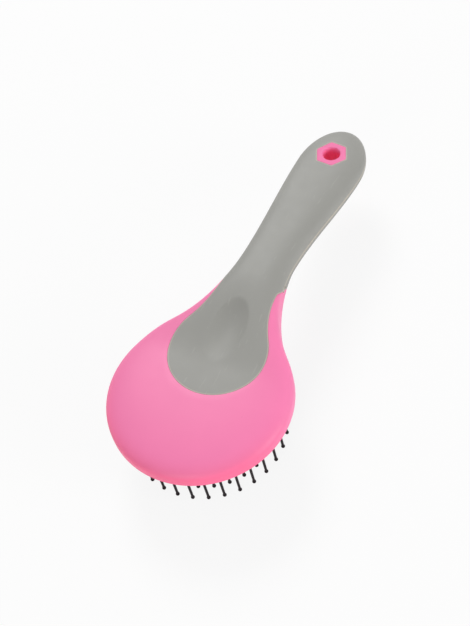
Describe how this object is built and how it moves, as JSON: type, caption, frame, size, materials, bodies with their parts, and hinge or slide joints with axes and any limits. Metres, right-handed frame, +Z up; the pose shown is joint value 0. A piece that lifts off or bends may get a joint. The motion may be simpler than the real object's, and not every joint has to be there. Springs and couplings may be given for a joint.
{
  "type": "mane and tail brush",
  "caption": "Round-headed horse grooming brush: an air cushion of ball-tipped pins under a domed plastic head, and an arched handle in soft grip skins with a hanging hole.",
  "frame": {"origin": "middle of the brush's length and width, at the height of the tip of the longest-reaching pin", "axes": "+X along the brush from the head to the handle's end, +Y across it, +Z up out of the head's crown, with the pins pointing along -Z"},
  "size_m": [0.229, 0.095, 0.051],
  "materials": {
    "body_plastic": "satin pink moulding",
    "grip_rubber": "soft-touch grey, fine matt grain",
    "cushion_rubber": "dark matt rubber",
    "pin_nylon": "dark nylon, slight sheen"
  },
  "bodies": {
    "back": {"brush_body": "body_plastic", "upper_grip": "grip_rubber", "lower_grip": "grip_rubber", "cushion": "cushion_rubber"},
    "ring_1_pins": {"pin_ring_1": "pin_nylon"},
    "ring_2_pins": {"pin_ring_2": "pin_nylon"},
    "ring_3_pins": {"pin_ring_3": "pin_nylon"},
    "ring_4_pins": {"pin_ring_4": "pin_nylon"},
    "ring_5_pins": {"pin_ring_5": "pin_nylon"},
    "crown_pins": {"pin_ring_6": "pin_nylon", "centre_pin": "pin_nylon"}
  },
  "joints": [
    {"name": "crown_press", "type": "slide", "parent": "back", "child": "crown_pins", "axis": [0, 0, 1], "range_m": [0, 0.003], "stiffness_N_per_m": 2500, "deforming": ["cushion"]},
    {"name": "ring_1_press", "type": "slide", "parent": "back", "child": "ring_1_pins", "axis": [0, 0, 1], "range_m": [0, 0.00034]},
    {"name": "ring_2_press", "type": "slide", "parent": "back", "child": "ring_2_pins", "axis": [0, 0, 1], "range_m": [0, 0.00127]},
    {"name": "ring_3_press", "type": "slide", "parent": "back", "child": "ring_3_pins", "axis": [0, 0, 1], "range_m": [0, 0.00213]},
    {"name": "ring_4_press", "type": "slide", "parent": "back", "child": "ring_4_pins", "axis": [0, 0, 1], "range_m": [0, 0.00269]},
    {"name": "ring_5_press", "type": "slide", "parent": "back", "child": "ring_5_pins", "axis": [0, 0, 1], "range_m": [0, 0.00294]}
  ],
  "couplings": [
    {"joint": "ring_1_press", "follows": "crown_press", "ratio": 0.1101},
    {"joint": "ring_2_press", "follows": "crown_press", "ratio": 0.4203},
    {"joint": "ring_3_press", "follows": "crown_press", "ratio": 0.7096},
    {"joint": "ring_4_press", "follows": "crown_press", "ratio": 0.8937},
    {"joint": "ring_5_press", "follows": "crown_press", "ratio": 0.9764}
  ]
}
